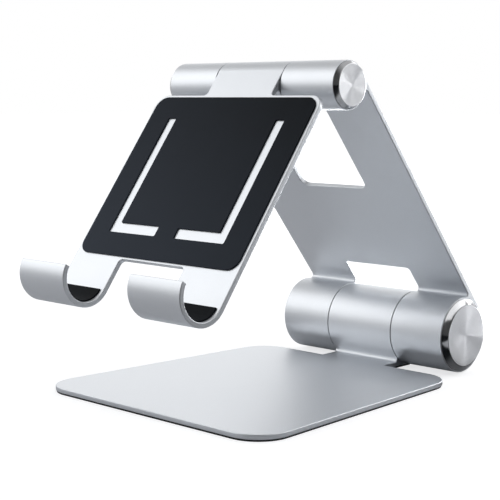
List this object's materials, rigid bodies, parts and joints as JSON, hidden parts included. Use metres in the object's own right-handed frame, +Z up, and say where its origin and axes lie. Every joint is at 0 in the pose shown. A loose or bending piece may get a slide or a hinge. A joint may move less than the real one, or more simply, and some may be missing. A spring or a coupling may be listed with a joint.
{
  "type": "tablet stand",
  "caption": "Folding aluminium tablet stand with a flat base, a windowed arm and a hooked, silicone-padded tray on friction hinges.",
  "frame": {"origin": "centre of the bounding box, on the table under the base", "axes": "+X to the right along both hinge axes, +Y towards the back where the lower hinge is, +Z up; the tray faces -Y"},
  "size_m": [0.1054, 0.1578, 0.1146],
  "materials": {
    "blasted_aluminium": "bead-blasted, clear anodised, satin, with bright chamfered edges",
    "turned_aluminium": "face-turned with fine circular lines, polished side wall",
    "foot_rubber": "matt black, smooth",
    "silicone": "matt blue-black, smooth and soft",
    "steel": "plain turned steel",
    "brass": "plain turned bushing",
    "spring_steel": "oiled spring steel",
    "washer_plastic": "matt black"
  },
  "bodies": {
    "base": {"base_plate": "blasted_aluminium", "base_pad": "foot_rubber", "lower_sleeve": "brass", "lower_sleeve_screw": "steel"},
    "arm": {"arm_plate": "blasted_aluminium", "lower_shaft": "steel", "lower_hub_left": "steel", "lower_hub_right": "steel", "lower_disc_springs": "spring_steel", "lower_lock_nut": "steel", "lower_seam_washers": "washer_plastic", "lower_cap_left": "turned_aluminium", "lower_cap_right": "turned_aluminium", "upper_shaft": "steel", "upper_hub_left": "steel", "upper_hub_right": "steel", "upper_disc_springs": "spring_steel", "upper_lock_nut": "steel", "upper_seam_washers": "washer_plastic", "upper_cap_left": "turned_aluminium", "upper_cap_right": "turned_aluminium"},
    "tray": {"tray_plate": "blasted_aluminium", "upper_sleeve": "brass", "upper_sleeve_screw": "steel", "tray_pad": "silicone", "hook_pad_left": "silicone", "hook_pad_right": "silicone"}
  },
  "joints": [
    {"name": "arm_tilt", "type": "hinge", "parent": "base", "child": "arm", "pos_m": [0, 0.0649, 0.0146], "axis": [1, 0, 0], "range_deg": [-50, 14]},
    {"name": "tray_tilt", "type": "hinge", "parent": "arm", "child": "tray", "pos_m": [0, -0.00273, 0.10638], "axis": [1, 0, 0], "range_deg": [-137, 79]}
  ]
}
